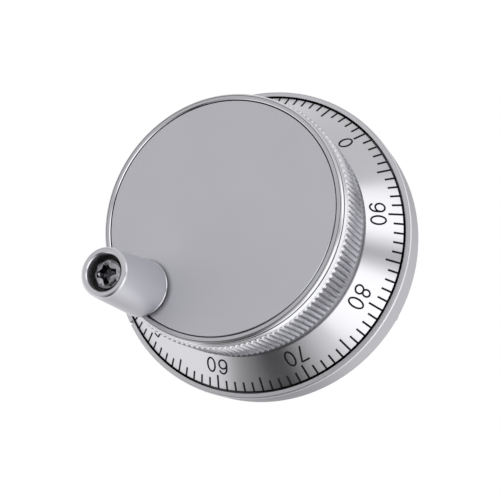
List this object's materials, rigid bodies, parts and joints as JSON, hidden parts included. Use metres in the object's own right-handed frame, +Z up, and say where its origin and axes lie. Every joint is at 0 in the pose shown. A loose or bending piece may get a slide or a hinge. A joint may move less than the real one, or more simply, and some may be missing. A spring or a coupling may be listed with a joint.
{
  "type": "pulse generator handwheel",
  "caption": "Panel-mounted handwheel: a knurled knob with a graduated dial cone and an off-centre handle turns in a fixed bezel and makes pulses.",
  "frame": {"origin": "centre of the bezel's rear face, which lies on the panel", "axes": "+Y along the wheel's axis into the panel, so the wheel faces -Y; +Z up; +X to the right as seen from the front"},
  "size_m": [0.06, 0.0623, 0.06],
  "materials": {
    "bezel": "satin turned",
    "dial": "fine turned, clear",
    "knob": "bead blasted, clear anodised",
    "face_plate": "bead blasted, clear anodised",
    "handle": "bead blasted, clear anodised",
    "dark_chrome": "polished, dark",
    "housing": "black, matte",
    "black_plastic": "moulded, fine texture",
    "black_nylon": "smooth nylon",
    "steel": "ground",
    "zinc_screw": "zinc plated",
    "bearing_steel": "polished",
    "brass": "turned",
    "magnet": "sintered",
    "board": "solder mask",
    "component": "ceramic"
  },
  "bodies": {
    "housing": {"bezel": "bezel", "housing": "housing", "housing_screws": "zinc_screw", "bearing_outer_rings": "bearing_steel", "bearing_balls": "bearing_steel", "bearing_cages": "brass", "bearing_shields": "steel", "wave_spring": "steel", "click_yokes": "steel", "click_magnet": "magnet", "spacer_ring": "black_plastic", "circuit_board": "board", "sensor_block": "black_plastic", "driver_chip": "black_plastic", "capacitors": "component", "rear_cover": "black_plastic", "cover_screws": "zinc_screw", "terminal_inserts": "brass", "terminal_clamps": "zinc_screw", "terminal_screws": "zinc_screw"},
    "wheel": {"shaft": "steel", "bearing_inner_rings": "bearing_steel", "bearing_sleeve": "steel", "retaining_ring": "steel", "disc_hub": "brass", "hub_grub_screws": "steel", "click_rotor": "steel", "code_disc": "steel", "disc_clamp": "brass", "disc_screws": "zinc_screw", "knob": "knob", "hub_washer": "zinc_screw", "hub_screw": "zinc_screw", "dial": "dial", "dial_screws": "zinc_screw", "face_plate": "face_plate", "handle_spindle": "dark_chrome", "handle_washer": "black_nylon"},
    "grip": {"handle": "handle", "handle_bush": "black_nylon"}
  },
  "joints": [
    {"name": "wheel_spin", "type": "hinge", "parent": "housing", "child": "wheel", "pos_m": [0, 0, 0], "axis": [0, -1, 0], "continuous": true},
    {"name": "grip_spin", "type": "hinge", "parent": "wheel", "child": "grip", "pos_m": [-0.01437, 0, -0.01181], "axis": [0, -1, 0], "continuous": true}
  ]
}
